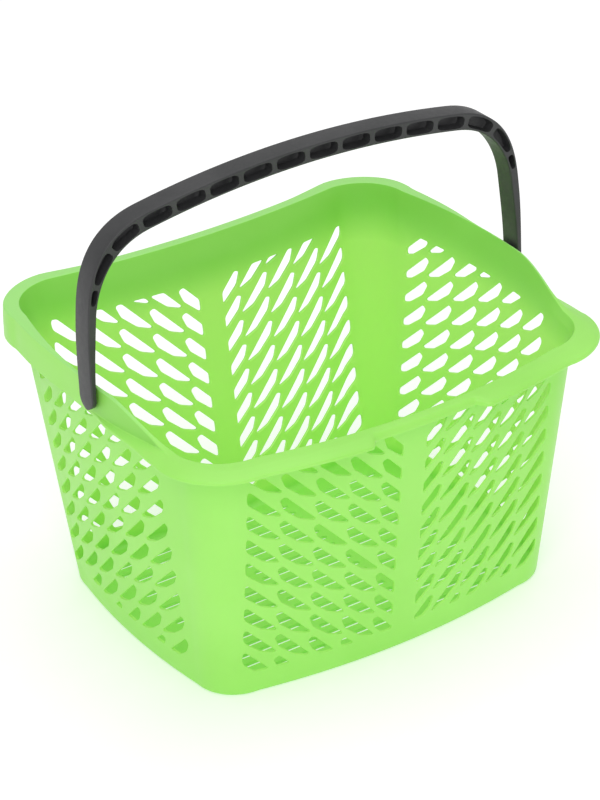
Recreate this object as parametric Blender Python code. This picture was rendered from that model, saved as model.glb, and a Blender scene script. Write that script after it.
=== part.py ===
"""Hand shopping basket: perforated plastic tub with a flanged rim and a swing handle.

Metres in Blender, millimetres in the constants. X runs along the basket, the front
long side faces -Y, Z is up and the origin is the middle of the base on the floor.
"""
import math

import bmesh
import bpy
import numpy as np
from mathutils import Vector
from mathutils.geometry import delaunay_2d_cdt

MM = 0.001

# Tub outline: half sizes and corner radius at the base and at the rim.
BASE_HALF_X, RIM_HALF_X = 170.6, 191.7
BASE_HALF_Y, RIM_HALF_Y = 132.0, 164.3
BASE_CORNER_R, RIM_CORNER_R = 37.5, 40.0
# The front side bows outward, the rear side bows inward and the ends bow outward.
BASE_FRONT_BOW, RIM_FRONT_BOW = 13.5, 18.8
BASE_REAR_BOW, RIM_REAR_BOW = -14.6, -17.6
BASE_END_BOW, RIM_END_BOW = 6.7, 12.2

RIM_Z = 266.3            # height at which the walls would reach the rim outline
WALL_T = 2.5
FLOOR_T = 3.0
FOOT_CHAMFER = 2.5

# Crest line: it flares out of the walls, lies low along the front and high elsewhere.
CREST = 2.0              # outline level that stands for the crest line
CREST_CORNER_R, CREST_REAR_BOW, CREST_END_BOW = 46.0, -12.2, 12.95
CREST_FRONT_Z, CREST_TOP_Z = 245.1, 267.0
CREST_FALL_END, CREST_FALL_START = -128.8, -38.5
FLARE_FRONT, FLARE_TOP = 8.0, 20.0   # height of the flare inside the crest

# Rim: a top band outside the crest, then a flange or skirt down to one low plane.
FLANGE_Z = 238.6
FLANGE_T = 2.7
FLANGE_W = 20.5
REAR_WIDTHS = ((105.0, 12.0), (152.0, 15.5))   # by distance from the middle of the rear
NOTCH_W = 10.0           # flange width in the notch at the middle of the front
NOTCH_HALF = 51.0
NOTCH_BLEND = 14.0
FRONT_BAND_W = 8.5
REAR_BANDS = ((105.0, 10.3), (152.0, 14.0))
BAND_DROP_FRONT, BAND_DROP_REAR = 1.2, 0.4
LEDGE_Z, LEDGE_RISE = 241.0, 3.2     # ledge at the handle legs, and its climb to the corners
RECESS_FLAT, RECESS_END = 78.0, 100.0
# Widths along the ends as (y, width): the flange's edge and the top band.
END_WIDTHS = ((-150.0, 21.5), (-125.0, 19.5), (-100.0, 14.0), (-80.0, 10.0), (-60.0, 8.6),
              (-45.0, 8.0), (-33.0, 5.6), (-22.0, 3.0), (24.0, 3.2), (52.0, 5.8),
              (78.0, 8.6), (112.0, 11.4), (125.0, 13.0), (140.0, 15.5))
END_BANDS = ((-150.0, FRONT_BAND_W), (-118.0, 6.0), (-95.0, 2.4), (24.0, 2.2), (52.0, 4.7),
             (78.0, 7.4), (112.0, 10.2), (125.0, 11.8), (140.0, 14.0))

# Leaf-shaped openings: panel borders, column pitch, row pitch and column step.
PANEL_LOW, PANEL_HIGH = 18.0, 233.0
HOLE_LOW, HOLE_HIGH = 23.0, 230.5
LONG_EDGE, LONG_CREASE = 149.0, 11.5
LONG_FIRST, LONG_PITCH, LONG_TOP_Z = 151.0, 30.1, 232.4
LONG_STEP, LONG_ROW = 12.6, 23.45
LONG_RUN, LONG_FALL = 30.0, 29.0
END_EDGE_FRONT, END_EDGE_REAR = -91.0, 108.0
END_FIRST, END_PITCH, END_TOP_Z = -91.5, 34.2, 208.0
END_STEP, END_ROW = 12.8, 23.4
END_RUN, END_FALL = 34.0, 29.0
LEAF_CHORD = 45.8
LEAF_MIN_AREA = 40.0
# Leaf outline, along and across its chord from the blunt upper tip.
LEAF = ((1.0, -1.0), (3.5, 3.8), (45.3, 1.0), (33.0, -6.2), (12.0, -6.6))

# Stations of the wall where the panels end and the corners begin.
LONG_HALF_PANEL = 152.0
NOTCH_STATIONS = (0.0, 25.0, 43.0, 51.0, 59.0, 88.0, 120.0, LONG_HALF_PANEL)
END_STATIONS = (-95.0, -75.0, -55.0, -39.0, -29.0, -10.0, -2.0, 5.0, 26.0, 52.0, 78.0, 112.0)
CORNER_STATIONS = 5
END_PANEL_FRONT, END_PANEL_REAR = END_STATIONS[0], END_STATIONS[-1]

# Floor slots.
SLOT_HALF_LEN, SLOT_HALF_W = 42.0, 2.2
SLOT_PITCH_X, SLOT_PITCH_Y = 96.0, 13.0
SLOT_COLUMNS, SLOT_ROWS = 3, 18
SLOT_EDGE_GAP = 8.0

# Swing handle: a flat bail whose legs stand just outside the ends of the rim.
PIVOT_Y, PIVOT_Z = -20.0, 257.5
LEG_FOOT_X, LEG_FOOT_Z = 211.3, 246.0
LEG_TOP_X, LEG_TOP_Z = 207.3, 328.0
LEG_BEND = 2.2           # power of the legs' inward curve
CORNER_X, CORNER_Z = 201.6, 390.7
CROWN_END_X, CROWN_END_Z = 150.0, 400.0
CROWN_Z = 413.5
TOP_T, LEG_TOP_T, LEG_FOOT_T = 15.0, 7.6, 4.6
HANDLE_HALF_W = 10.8
FOOT_ROUND = 10.8
FOOT_TIP_HALF_W = 4.0
POCKETS = 16
POCKET_RIB = 5.0
POCKET_DEPTH = 7.5
POCKET_WALL = 2.2
POCKET_LOW_Z = 341.0

# Pivot pins: pressed into the wall, turning in a blind eye in each leg.
PIN_R = 4.0
PIN_EYE_GAP = 0.3
PIN_WALL_GAP = 0.3
PIN_INNER_X, PIN_OUTER_X = 202.8, 211.3
EYE_BOTTOM_X = 211.8
PIN_SIDES = 24

GREEN = (0.36, 0.82, 0.16, 1.0)
CHARCOAL = (0.055, 0.055, 0.06, 1.0)


def clear_scene():
    for obj in list(bpy.data.objects):
        bpy.data.objects.remove(obj, do_unlink=True)


def make_material(name, colour, roughness):
    mat = bpy.data.materials.new(name)
    mat.use_nodes = True
    shader = mat.node_tree.nodes["Principled BSDF"]
    shader.inputs["Base Color"].default_value = colour
    shader.inputs["Roughness"].default_value = roughness
    shader.inputs["Metallic"].default_value = 0.0
    mat.diffuse_color = colour
    return mat


def make_object(name, points, faces, material, origin=(0.0, 0.0, 0.0)):
    """A closed mesh in millimetres becomes an object whose origin is given in millimetres."""
    mesh = bpy.data.meshes.new(name)
    base = Vector(origin)
    mesh.from_pydata([(Vector(p) - base) * MM for p in points], [], faces)
    shell = bmesh.new()
    shell.from_mesh(mesh)
    bmesh.ops.recalc_face_normals(shell, faces=shell.faces)
    shell.to_mesh(mesh)
    shell.free()
    mesh.materials.append(material)
    mesh.shade_smooth()
    mesh.set_sharp_from_angle(angle=math.radians(35.0))
    obj = bpy.data.objects.new(name, mesh)
    obj.location = base * MM
    bpy.context.scene.collection.objects.link(obj)
    return obj


def lerp(a, b, t):
    return a + (b - a) * t


def smooth(t):
    t = min(max(t, 0.0), 1.0)
    return t * t * (3.0 - 2.0 * t)


# ---------------------------------------------------------------- tub outline

def section(level, inset):
    """Half sizes and corner radius at a level from 0 (base) to 1 (rim), or on the crest line."""
    if level == CREST:
        return RIM_HALF_X - inset, RIM_HALF_Y - inset, CREST_CORNER_R - inset
    half_x = lerp(BASE_HALF_X, RIM_HALF_X, level) - inset
    half_y = lerp(BASE_HALF_Y, RIM_HALF_Y, level) - inset
    radius = lerp(BASE_CORNER_R, RIM_CORNER_R, level) - inset
    return half_x, half_y, max(radius, 4.0)


def wall_y(x, level, inset, side):
    """Y of the front (side -1) or rear (side 1) wall at x, corner arcs included."""
    half_x, half_y, radius = section(level, inset)
    straight = half_x - radius
    if side < 0:
        bow = lerp(BASE_FRONT_BOW, RIM_FRONT_BOW, min(level, 1.0))
    elif level == CREST:
        bow = CREST_REAR_BOW
    else:
        bow = lerp(BASE_REAR_BOW, RIM_REAR_BOW, level)
    over = abs(x) - straight
    if over > 0.0:
        return side * (half_y - radius + math.sqrt(max(radius ** 2 - over ** 2, 0.0)))
    return side * (half_y + bow * (1.0 - (x / straight) ** 2))


def wall_x(y, level, inset, side):
    """X of the end wall (side -1 or 1) at y, corner arcs included."""
    half_x, half_y, radius = section(level, inset)
    straight = half_y - radius
    bow = CREST_END_BOW if level == CREST else lerp(BASE_END_BOW, RIM_END_BOW, level)
    over = abs(y) - straight
    if over > 0.0:
        return side * (half_x - radius + math.sqrt(max(radius ** 2 - over ** 2, 0.0)))
    return side * (half_x + bow * (1.0 - (y / straight) ** 2))


def corner_points(level, inset, side_x, side_y):
    """Points inside one corner, from the long panel's end to the end panel's end."""
    half_x, half_y, radius = section(level, inset)
    end_y = END_PANEL_FRONT if side_y < 0 else END_PANEL_REAR
    start = Vector((side_x * LONG_HALF_PANEL, wall_y(LONG_HALF_PANEL, level, inset, side_y)))
    finish = Vector((wall_x(end_y, level, inset, side_x), end_y))
    centre = Vector((side_x * (half_x - radius), side_y * (half_y - radius)))
    path = [start]
    first = math.atan2(abs(start.y - centre.y), max(side_x * (start.x - centre.x), 0.0))
    last = math.atan2(max(side_y * (finish.y - centre.y), 0.0), abs(finish.x - centre.x))
    for k in range(25):
        a = lerp(first, last, k / 24.0)
        path.append(centre + radius * Vector((side_x * math.cos(a), side_y * math.sin(a))))
    if side_y * (finish.y - centre.y) < 0.0:
        for k in range(1, 9):
            y = lerp(centre.y, finish.y, k / 9.0)
            path.append(Vector((wall_x(y, level, inset, side_x), y)))
    path.append(finish)
    return resample(path, CORNER_STATIONS)


def resample(path, count):
    """Evenly spaced interior points of a polyline."""
    steps = [0.0]
    for a, b in zip(path, path[1:]):
        steps.append(steps[-1] + (b - a).length)
    wanted = [steps[-1] * (k + 1) / (count + 1) for k in range(count)]
    xs = np.interp(wanted, steps, [p.x for p in path])
    ys = np.interp(wanted, steps, [p.y for p in path])
    return [(float(x), float(y)) for x, y in zip(xs, ys)]


def long_stations():
    return sorted({s * x for x in NOTCH_STATIONS for s in (-1.0, 1.0)})


def end_stations():
    return list(END_STATIONS)


def outline(level, inset):
    """The tub's outline as a loop of plan points, anticlockwise from the front left."""
    xs, ys = long_stations(), end_stations()
    loop = [(x, wall_y(x, level, inset, -1.0)) for x in xs]
    loop += corner_points(level, inset, 1.0, -1.0)
    loop += [(wall_x(y, level, inset, 1.0), y) for y in ys]
    loop += corner_points(level, inset, 1.0, 1.0)[::-1]
    loop += [(x, wall_y(x, level, inset, 1.0)) for x in xs[::-1]]
    loop += corner_points(level, inset, -1.0, 1.0)
    loop += [(wall_x(y, level, inset, -1.0), y) for y in ys[::-1]]
    loop += corner_points(level, inset, -1.0, -1.0)[::-1]
    return loop


def panel_slices():
    """Index ranges of the front, right, rear and left panels in the outline loop."""
    n_long, n_end = len(long_stations()), len(END_STATIONS)
    starts, at = [], 0
    for count in (n_long, n_end, n_long, n_end):
        starts.append((at, count))
        at += count + CORNER_STATIONS
    return starts


def outward(loop):
    """Unit outward normals of a plan loop."""
    normals = []
    for i, point in enumerate(loop):
        before, after = Vector(loop[i - 1]), Vector(loop[(i + 1) % len(loop)])
        run = (after - before).normalized()
        normals.append(Vector((run.y, -run.x)))
    return normals


# ---------------------------------------------------------------- rim profile

def crest_z(y):
    t = (y - CREST_FALL_END) / (CREST_FALL_START - CREST_FALL_END)
    return lerp(CREST_FRONT_Z, CREST_TOP_Z, smooth(t))


def recess(x, y):
    """1 where the ledge beside a leg lies lowest, 0 where the flange meets the crest."""
    if abs(x) < LONG_HALF_PANEL:
        return 0.0
    if y > PIVOT_Y:
        return 1.0 - smooth((y - PIVOT_Y - 11.0) / 14.0)
    return smooth((RECESS_END + y - PIVOT_Y) / (RECESS_END - RECESS_FLAT))


def ledge_z(y):
    return LEDGE_Z + LEDGE_RISE * smooth((PIVOT_Y - 10.0 - y) / (RECESS_END - 10.0))


def from_table(value, knots):
    """Straight interpolation between (position, width) knots."""
    for (p, a), (q, b) in zip(knots, knots[1:]):
        if value <= q:
            return lerp(a, b, min(max((value - p) / (q - p), 0.0), 1.0))
    return knots[-1][1]


def flange_width(x, y):
    if abs(x) >= LONG_HALF_PANEL:
        return from_table(y, END_WIDTHS)
    if y > 0.0:
        return from_table(abs(x), REAR_WIDTHS)
    start = NOTCH_HALF - NOTCH_BLEND / 2.0
    return lerp(NOTCH_W, FLANGE_W, smooth((abs(x) - start) / NOTCH_BLEND))


def band_width(x, y):
    if abs(x) >= LONG_HALF_PANEL:
        return from_table(y, END_BANDS)
    if y > 0.0:
        return from_table(abs(x), REAR_BANDS)
    return min(FRONT_BAND_W, 0.62 * flange_width(x, y))


def band_drop(y):
    return lerp(BAND_DROP_FRONT, BAND_DROP_REAR, smooth((y - 20.0) / 40.0))


def root_share(x, y):
    """1 where the flange starts from a root at the band's foot, 0 where it falls evenly."""
    if y < PIVOT_Y and abs(x) >= LONG_HALF_PANEL:
        return smooth((y + 165.0) / 50.0)
    return min(recess(x, y) * 1.6, 1.0)


def root_reach(spot, normal, skin, knee, shares):
    """Distance outside the crest line of the underside's root, always clear of the flare.

    skin is the wall's outer skin at the root's height, knee is the flare's lower end, and
    shares are the drops from the crest to the root and to the knee.
    """
    lean = ((spot[0] - knee.x) * normal.x + (spot[1] - knee.y) * normal.y) * shares[0] / shares[1]
    plain = (skin.x - spot[0]) * normal.x + (skin.y - spot[1]) * normal.y
    return max(plain, WALL_T - lean)


def rim_profile(x, y, normal, on_wall):
    """Rim section at one station as (distance outside the crest line, height) pairs.

    It runs from the underside out to the flange's edge and back over the top band. The
    last entry is a whole point on the wall's inner skin.
    """
    r, crest = recess(x, y), crest_z(y)
    width, band = flange_width(x, y), band_width(x, y)
    ledge = lerp(crest - 1.5, ledge_z(y), r)
    root, drop = root_share(x, y), band_drop(y)
    skirt = (lerp(lerp(band, width, 0.62), band + 0.3, root),
             lerp(lerp(crest - drop, FLANGE_Z + 1.2, 0.45), ledge, root))
    flare = lerp(FLARE_FRONT, FLARE_TOP, smooth((crest - CREST_FRONT_Z) / 20.0))
    under_z, knee = lerp(crest - 5.5, ledge - 2.8, r), on_wall(1, crest - flare)
    root_out = root_reach((x, y), normal, on_wall(0, under_z), knee, (crest - under_z, flare))
    hollow_out = max(lerp(band - 2.3, width - 2.2, r), root_out + 0.4)
    return [(root_out, under_z), (hollow_out, lerp(crest - 4.8, ledge - 2.9, r)),
            (width - 0.9, FLANGE_Z - FLANGE_T / 2.0), (width, FLANGE_Z + 1.2), skirt,
            (band, crest - drop), (0.2, crest), knee]


class Solid:
    """Collects the points and faces of one closed mesh."""

    def __init__(self):
        self.points = []
        self.faces = []

    def add(self, point):
        self.points.append(tuple(float(v) for v in point))
        return len(self.points) - 1

    def ring(self, loop, heights):
        return [self.add((p[0], p[1], z)) for p, z in zip(loop, heights)]

    def bridge(self, low, high, skip=()):
        """Quads between two rings; the faces look outward when high is above low."""
        count = len(low)
        for i in range(count):
            j = (i + 1) % count
            if i not in skip:
                self.faces.append((low[i], low[j], high[j], high[i]))


def rim_rings(solid):
    """Rings of the rim, from its underside round to the wall's inner skin."""
    crest = outline(CREST, 0.0)
    skins = [[outline(level, inset) for level in (level_of(PANEL_HIGH), 1.0)]
             for inset in (0.0, WALL_T)]
    columns = []
    for i, ((x, y), normal) in enumerate(zip(crest, outward(crest))):

        def on_wall(skin, z, i=i):
            low, high = (Vector(loop[i]) for loop in skins[skin])
            p = low.lerp(high, (z - PANEL_HIGH) / (RIM_Z - PANEL_HIGH))
            return Vector((p.x, p.y, z))

        column = []
        for spot in rim_profile(x, y, normal, on_wall):
            if len(spot) == 2:
                out, z = spot
                spot = (x + normal.x * out, y + normal.y * out, z)
            column.append(solid.add(spot))
        columns.append(column)
    return [list(ring) for ring in zip(*columns)]


# ---------------------------------------------------------------- openings

def leaf(tip, run, fall):
    """Leaf outline from its upper tip; run is signed and gives the slant."""
    length = math.hypot(run, fall)
    along = (run / length, -fall / length)
    side = 1.0 if run > 0.0 else -1.0
    across = (side * fall / length, side * run / length)
    scale = length / LEAF_CHORD
    pts = []
    for a, b in LEAF:
        pts.append((tip[0] + scale * (a * along[0] + b * across[0]),
                    tip[1] + scale * (a * along[1] + b * across[1])))
    return pts


def clip(poly, axis, limit, keep_above):
    """The part of a convex outline on one side of a border."""
    sign = 1.0 if keep_above else -1.0
    out = []
    for p, q in zip(poly, poly[1:] + poly[:1]):
        dp, dq = sign * (p[axis] - limit), sign * (q[axis] - limit)
        if dp >= 0.0:
            out.append(p)
        if dp * dq < 0.0:
            t = dp / (dp - dq)
            out.append((lerp(p[0], q[0], t), lerp(p[1], q[1], t)))
    return out


def area(poly):
    total = 0.0
    for p, q in zip(poly, poly[1:] + poly[:1]):
        total += p[0] * q[1] - q[0] * p[1]
    return abs(total) / 2.0


def thin_out(poly, gap=1.2):
    """Drops points that almost touch the one before."""
    out = []
    for p in poly:
        if not out or math.dist(p, out[-1]) > gap:
            out.append(p)
    if len(out) > 1 and math.dist(out[0], out[-1]) <= gap:
        out.pop()
    return out


def fit_leaf(poly, low, high):
    """A leaf cut back to a panel's borders, or None when little is left."""
    for axis in (0, 1):
        poly = clip(poly, axis, low[axis], True)
        if len(poly) > 2:
            poly = clip(poly, axis, high[axis], False)
        if len(poly) < 3:
            return None
    poly = thin_out(poly)
    if len(poly) < 3 or area(poly) < LEAF_MIN_AREA:
        return None
    return poly


def long_leaves():
    """Openings of a long wall: two mirrored fields of slanted columns."""
    field = []
    for column in range(5):
        x = LONG_FIRST - LONG_PITCH * column
        for row in range(-3, 10):
            z = LONG_TOP_Z - LONG_STEP * column - LONG_ROW * row
            poly = leaf((-x, z), LONG_RUN, LONG_FALL)
            poly = fit_leaf(poly, (-LONG_EDGE, HOLE_LOW), (-LONG_CREASE, HOLE_HIGH))
            if poly:
                field.append(poly)
    mirrored = [[(-x, z) for x, z in poly[::-1]] for poly in field]
    return field + mirrored


def end_leaves():
    """Openings of an end wall, slanting down to the rear."""
    field = []
    for column in range(6):
        y = END_FIRST + END_PITCH * column
        for row in range(-5, 9):
            z = END_TOP_Z - END_STEP * column - END_ROW * row
            poly = leaf((y, z), END_RUN, END_FALL)
            poly = fit_leaf(poly, (END_EDGE_FRONT, HOLE_LOW), (END_EDGE_REAR, HOLE_HIGH))
            if poly:
                field.append(poly)
    return field


def inside(points, poly):
    """Mask of the points that lie in a polygon."""
    hit = np.zeros(len(points), bool)
    x, y = points[:, 0], points[:, 1]
    for (x1, y1), (x2, y2) in zip(poly, poly[1:] + poly[:1]):
        crosses = (y1 > y) != (y2 > y)
        if y1 != y2:
            hit ^= crosses & (x < (x2 - x1) * (y - y1) / (y2 - y1) + x1)
    return hit


def triangulate(border, holes):
    """Triangles of a flat region with holes; points are numbered border first."""
    loops = [border] + holes
    verts, edges = [], []
    for loop in loops:
        first = len(verts)
        verts += [Vector(p) for p in loop]
        edges += [(first + k, first + (k + 1) % len(loop)) for k in range(len(loop))]
    out, _, faces, origins, _, _ = delaunay_2d_cdt(verts, edges, [], 0, 1e-5)
    source = [ids[0] for ids in origins]
    centres = np.array([[sum(out[i][k] for i in f) / 3.0 for k in (0, 1)] for f in faces])
    keep = inside(centres, border)
    for hole in holes:
        keep &= ~inside(centres, hole)
    return [tuple(source[i] for i in f) for f, ok in zip(faces, keep) if ok]


def perforate(solid, border_pair, border_plan, holes, place):
    """Two skins with the same openings, and the openings' side faces between them.

    border_pair holds the rings' indices for the first and the second skin, border_plan
    their plan points, and place(p, skin) puts a plan point on a skin.
    """
    tris = triangulate(border_plan, holes)
    maps = []
    for skin in (0, 1):
        index = list(border_pair[skin])
        for hole in holes:
            index += [solid.add(place(p, skin)) for p in hole]
        maps.append(index)
    for a, b, c in tris:
        solid.faces.append((maps[0][a], maps[0][b], maps[0][c]))
        solid.faces.append((maps[1][a], maps[1][c], maps[1][b]))
    at = len(border_plan)
    for hole in holes:
        count = len(hole)
        for k in range(count):
            i, j = at + k, at + (k + 1) % count
            solid.faces.append((maps[0][i], maps[0][j], maps[1][j], maps[1][i]))
        at += count


# ---------------------------------------------------------------- tub

def level_of(z):
    return z / RIM_Z


def wall_point(panel, along, z, inset):
    """A point on one of the four walls, numbered front, right, rear, left."""
    level = level_of(z)
    if panel in (0, 2):
        return (along, wall_y(along, level, inset, panel - 1.0), z)
    return (wall_x(along, level, inset, 2.0 - panel), along, z)


def add_panels(solid, rings):
    """Perforated wall panels between the low and high rings of both skins."""
    low_out, high_out, low_in, high_in = rings
    for panel, (start, count) in enumerate(panel_slices()):
        ids = list(range(start, start + count))
        along = long_stations() if panel in (0, 2) else end_stations()
        if panel in (2, 3):
            ids = ids[::-1]
        plan = [(s, PANEL_LOW) for s in along] + [(s, PANEL_HIGH) for s in along[::-1]]
        outer = [low_out[i] for i in ids] + [high_out[i] for i in ids[::-1]]
        inner = [low_in[i] for i in ids] + [high_in[i] for i in ids[::-1]]
        holes = long_leaves() if panel in (0, 2) else end_leaves()
        pair = (outer, inner) if panel in (0, 1) else (inner, outer)
        insets = (0.0, WALL_T) if panel in (0, 1) else (WALL_T, 0.0)

        def place(p, skin, panel=panel, insets=insets):
            return wall_point(panel, p[0], p[1], insets[skin])

        perforate(solid, pair, plan, holes, place)


def floor_slots():
    """Long slots in the floor, clear of its edge."""
    margin = outline(0.0, WALL_T + SLOT_EDGE_GAP)
    slots = []
    for column in range(SLOT_COLUMNS):
        for row in range(SLOT_ROWS):
            x = (column - (SLOT_COLUMNS - 1) / 2.0) * SLOT_PITCH_X
            y = (row - (SLOT_ROWS - 1) / 2.0) * SLOT_PITCH_Y
            half = [(-SLOT_HALF_LEN, -SLOT_HALF_W), (SLOT_HALF_LEN, -SLOT_HALF_W)]
            slot = half + [(-a, -b) for a, b in half]
            slot = [(x + a, y + b) for a, b in slot]
            if inside(np.array(slot), margin).all():
                slots.append(slot)
    return slots


def add_floor(solid, under_ring, top_ring, under_plan):
    """Slotted floor plate between the underside and the inside of the tub."""
    heights = (0.0, FLOOR_T)

    def place(p, skin):
        return (p[0], p[1], heights[1 - skin])

    perforate(solid, (top_ring, under_ring), under_plan, floor_slots(), place)


def build_tub(material):
    solid = Solid()

    def level_ring(z, inset):
        loop = outline(level_of(z), inset)
        return solid.ring(loop, [z] * len(loop))

    under_plan = outline(0.0, FOOT_CHAMFER)
    under = solid.ring(under_plan, [0.0] * len(under_plan))
    heel = level_ring(FOOT_CHAMFER, 0.0)
    low_out = level_ring(PANEL_LOW, 0.0)
    high_out = level_ring(PANEL_HIGH, 0.0)
    rim = rim_rings(solid)
    high_in = level_ring(PANEL_HIGH, WALL_T)
    low_in = level_ring(PANEL_LOW, WALL_T)
    floor_edge = solid.ring(outline(0.0, WALL_T + 1.5), [FLOOR_T] * len(under_plan))

    skip = set()
    for start, count in panel_slices():
        skip |= set(range(start, start + count - 1))
    solid.bridge(under, heel)
    solid.bridge(heel, low_out)
    solid.bridge(low_out, high_out, skip)
    upper = [high_out] + rim + [high_in]
    for low, high in zip(upper, upper[1:]):
        solid.bridge(low, high)
    solid.bridge(high_in, low_in, skip)
    solid.bridge(low_in, floor_edge)
    add_panels(solid, (low_out, high_out, low_in, high_in))
    add_floor(solid, under, floor_edge, under_plan)
    return make_object("basket_body", solid.points, solid.faces, material)


# ---------------------------------------------------------------- handle

def bezier(a, b, c, t):
    u = 1.0 - t
    return tuple(u * u * p + 2.0 * u * t * q + t * t * r for p, q, r in zip(a, b, c))


def handle_half():
    """Centre line of the right half, from the leg's foot to the top of the arch."""
    line = []
    for rise in (0.0, 1.3, 4.6, 9.0, 13.5, 27.0, 41.0, 55.0, 69.0):
        t = rise / (LEG_TOP_Z - LEG_FOOT_Z)
        line.append((lerp(LEG_FOOT_X, LEG_TOP_X, t ** LEG_BEND), LEG_FOOT_Z + rise))
    top, end = (LEG_TOP_X, LEG_TOP_Z), (CROWN_END_X, CROWN_END_Z)
    for k in range(9):
        line.append(bezier(top, (CORNER_X, CORNER_Z), end, k / 8.0))
    for k in range(1, 7):
        x = CROWN_END_X * (1.0 - k / 6.0)
        rise = (CROWN_Z - CROWN_END_Z) * (1.0 - (x / CROWN_END_X) ** 2)
        line.append((x, CROWN_END_Z + rise))
    return line


def thickness(z):
    if z > LEG_TOP_Z:
        return lerp(LEG_TOP_T, TOP_T, smooth((z - LEG_TOP_Z) / (CROWN_END_Z - LEG_TOP_Z)))
    return lerp(LEG_FOOT_T, LEG_TOP_T, smooth((z - PIVOT_Z) / (LEG_TOP_Z - PIVOT_Z)))


def half_width(z):
    """The leg ends in a round tongue."""
    up = z - LEG_FOOT_Z
    if up >= FOOT_ROUND:
        return HANDLE_HALF_W
    chord = math.sqrt(max(FOOT_ROUND ** 2 - (FOOT_ROUND - up) ** 2, 0.0))
    return max(chord, FOOT_TIP_HALF_W)


def handle_sides():
    """Outer and inner edges of the bail in its own plane, left foot to right foot."""
    half = handle_half()
    line = [(-x, z) for x, z in half[:-1]] + half[::-1]
    outer, inner = [], []
    for i, (x, z) in enumerate(line):
        a, b = line[max(i - 1, 0)], line[min(i + 1, len(line) - 1)]
        run = Vector((b[0] - a[0], b[1] - a[1])).normalized()
        normal = Vector((-run.y, run.x))
        reach = thickness(z) / 2.0
        outer.append((x + normal.x * reach, z + normal.y * reach))
        inner.append((x - normal.x * reach, z - normal.y * reach))
    return line, outer, inner


def pocket_outlines(line):
    """Rounded pockets spaced evenly along the bail; the last one in each leg is half as long."""
    dense = []
    for a, b in zip(line, line[1:]):
        dense += [(lerp(a[0], b[0], k / 20.0), lerp(a[1], b[1], k / 20.0)) for k in range(20)]
    dense = [p for p in dense if p[1] > POCKET_LOW_Z]
    steps = [0.0]
    for a, b in zip(dense, dense[1:]):
        steps.append(steps[-1] + math.dist(a, b))
    xs, zs = [p[0] for p in dense], [p[1] for p in dense]
    pitch = steps[-1] / (POCKETS - 1)
    pockets = []
    for n in range(POCKETS):
        start = max(pitch * (n - 0.5) + POCKET_RIB / 2.0, 0.0)
        end = min(pitch * (n + 0.5) - POCKET_RIB / 2.0, steps[-1])
        mid, half = (start + end) / 2.0, (end - start) / 2.0

        def spot(along, across, mid=mid):
            s = mid + along
            x, z = float(np.interp(s, steps, xs)), float(np.interp(s, steps, zs))
            x2, z2 = float(np.interp(s + 1.0, steps, xs)), float(np.interp(s + 1.0, steps, zs))
            x1, z1 = float(np.interp(s - 1.0, steps, xs)), float(np.interp(s - 1.0, steps, zs))
            run = Vector((x2 - x1, z2 - z1)).normalized()
            reach = thickness(z) / 2.0 - POCKET_WALL
            return (x - run.y * reach * across, z + run.x * reach * across)

        corner = 0.72
        ring = [(-half, -0.45), (-half * corner, -1.0), (half * corner, -1.0), (half, -0.45)]
        ring += [(-a, -b) for a, b in ring]
        pockets.append([spot(a, b) for a, b in ring])
    return pockets


def build_handle(material):
    line, outer, inner = handle_sides()
    count = len(line)
    solid = Solid()
    widths = [half_width(z) for _, z in line]
    plan = outer + inner[::-1]
    plan_widths = widths + widths[::-1]
    pockets = pocket_outlines(line)
    tris = triangulate(plan, pockets)
    edge_ids = []
    for side in (-1.0, 1.0):
        ids = [solid.add((p[0], PIVOT_Y + side * w, p[1])) for p, w in zip(plan, plan_widths)]
        edge_ids.append(list(ids))
        for pocket in pockets:
            ids += [solid.add((p[0], PIVOT_Y + side * HANDLE_HALF_W, p[1])) for p in pocket]
        for a, b, c in tris:
            solid.faces.append((ids[a], ids[b], ids[c]) if side < 0 else (ids[a], ids[c], ids[b]))
        add_pocket_floors(solid, pockets, ids, 2 * count, side)
    near, far = edge_ids
    total = len(plan)
    for i in range(total):
        j = (i + 1) % total
        solid.faces.append((near[j], near[i], far[i], far[j]))
    origin = (0.0, PIVOT_Y, PIVOT_Z)
    handle = make_object("carry_handle", solid.points, solid.faces, material, origin)
    cut_eyes(handle)
    return handle


def add_pocket_floors(solid, pockets, ids, at, side):
    """Side walls and the bottom of each pocket."""
    depth_y = PIVOT_Y + side * (HANDLE_HALF_W - POCKET_DEPTH)
    for pocket in pockets:
        n = len(pocket)
        rim = ids[at:at + n]
        floor = [solid.add((p[0], depth_y, p[1])) for p in pocket]
        for k in range(n):
            j = (k + 1) % n
            quad = (rim[k], rim[j], floor[j], floor[k])
            solid.faces.append(quad if side < 0 else quad[::-1])
        solid.faces.append(tuple(floor) if side < 0 else tuple(floor[::-1]))
        at += n


def rod(name, radius, x_from, x_to, material, phase=0.0):
    """A round rod along X on the pivot axis."""
    solid = Solid()
    low, high = sorted((x_from, x_to))
    rings = []
    for x in (low, high):
        ring = []
        for k in range(PIN_SIDES):
            a = 2.0 * math.pi * (k + phase) / PIN_SIDES
            ring.append(solid.add((x, PIVOT_Y + radius * math.cos(a), PIVOT_Z + radius * math.sin(a))))
        rings.append(ring)
    solid.bridge(rings[0], rings[1])
    solid.faces.append(tuple(rings[0][::-1]))
    solid.faces.append(tuple(rings[1]))
    return make_object(name, solid.points, solid.faces, material, ((low + high) / 2.0, PIVOT_Y, PIVOT_Z))


def cut(target, cutter):
    """Boolean difference with a hidden helper."""
    cutter.hide_render = True
    cutter.display_type = "WIRE"
    step = target.modifiers.new(cutter.name, "BOOLEAN")
    step.operation = "DIFFERENCE"
    step.solver = "EXACT"
    step.object = cutter


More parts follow.
